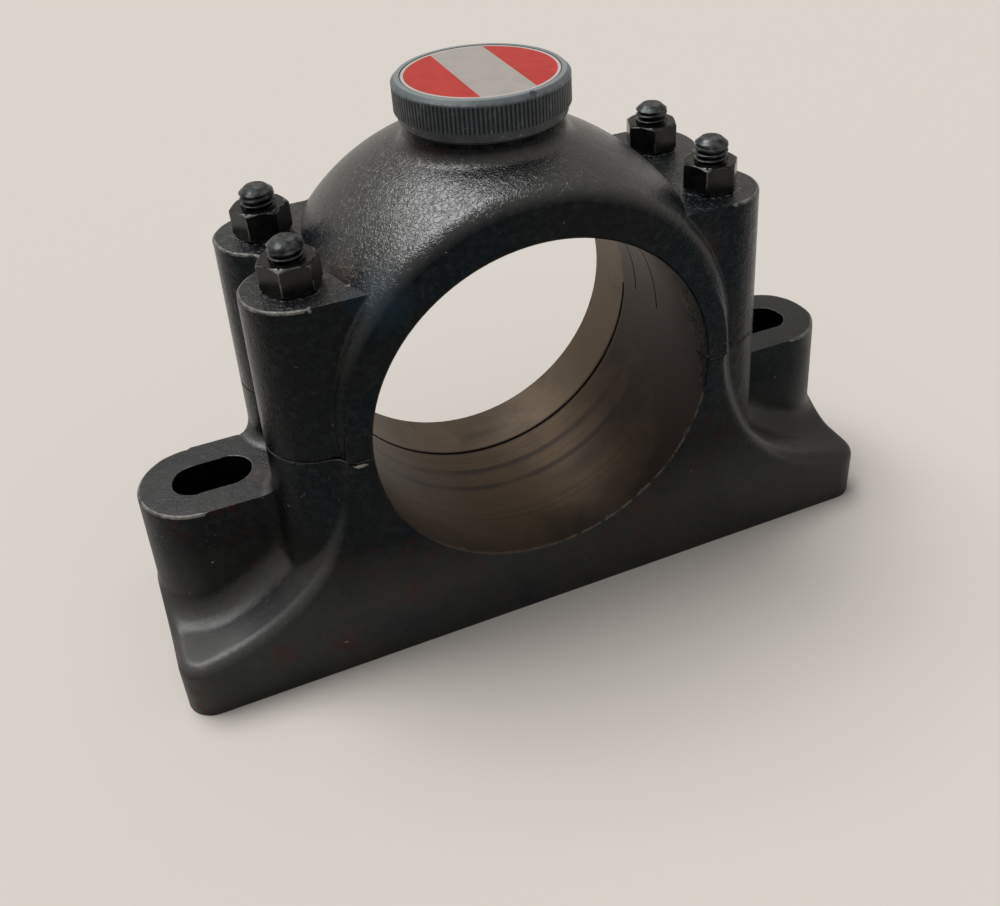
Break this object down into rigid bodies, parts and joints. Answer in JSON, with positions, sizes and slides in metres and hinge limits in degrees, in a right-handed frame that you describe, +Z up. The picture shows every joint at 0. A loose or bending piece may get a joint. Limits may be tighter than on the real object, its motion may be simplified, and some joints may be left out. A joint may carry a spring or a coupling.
{
  "type": "split plummer block",
  "caption": "Two-piece cast bearing housing: a cap held on a slotted foot by studs and nuts, round one through bore, with a knurled screw plug on top.",
  "frame": {"origin": "on the underside of the foot, below the middle of the bore", "axes": "+X along the foot from bolt slot to bolt slot, +Y along the bore axis from front to rear, +Z up, away from the foot"},
  "size_m": [0.227, 0.0734, 0.1585],
  "materials": {
    "housing_paint": "dark slate enamel over sand-cast iron, machined bore bare",
    "stud_steel": "dull painted thread",
    "nut_steel": "black painted hexagon",
    "plug_metal": "grey-blue die casting with a fine straight knurl",
    "gasket_fibre": "dark fibre sheet",
    "label_foil": "silver foil with red fields",
    "dowel_steel": "ground steel"
  },
  "bodies": {
    "housing": {"base": "housing_paint", "cap": "housing_paint", "stud_front_left": "stud_steel", "stud_front_right": "stud_steel", "stud_rear_left": "stud_steel", "stud_rear_right": "stud_steel", "nut_front_left": "nut_steel", "nut_front_right": "nut_steel", "nut_rear_left": "nut_steel", "nut_rear_right": "nut_steel", "dowel_left": "dowel_steel", "dowel_right": "dowel_steel"},
    "gasket_ring": {"plug_gasket": "gasket_fibre"},
    "screw_plug": {"filler_plug": "plug_metal", "label_disc": "label_foil"}
  },
  "joints": [
    {"name": "plug_lift", "type": "slide", "parent": "housing", "child": "gasket_ring", "axis": [0, 0, 1], "range_m": [0, 0.00635]},
    {"name": "plug_turn", "type": "hinge", "parent": "gasket_ring", "child": "screw_plug", "pos_m": [0, 0, 0.1474], "axis": [0, 0, 1], "range_deg": [0, 720]}
  ],
  "couplings": [
    {"joint": "plug_lift", "follows": "plug_turn", "m_per_rad": 0.00050532}
  ]
}
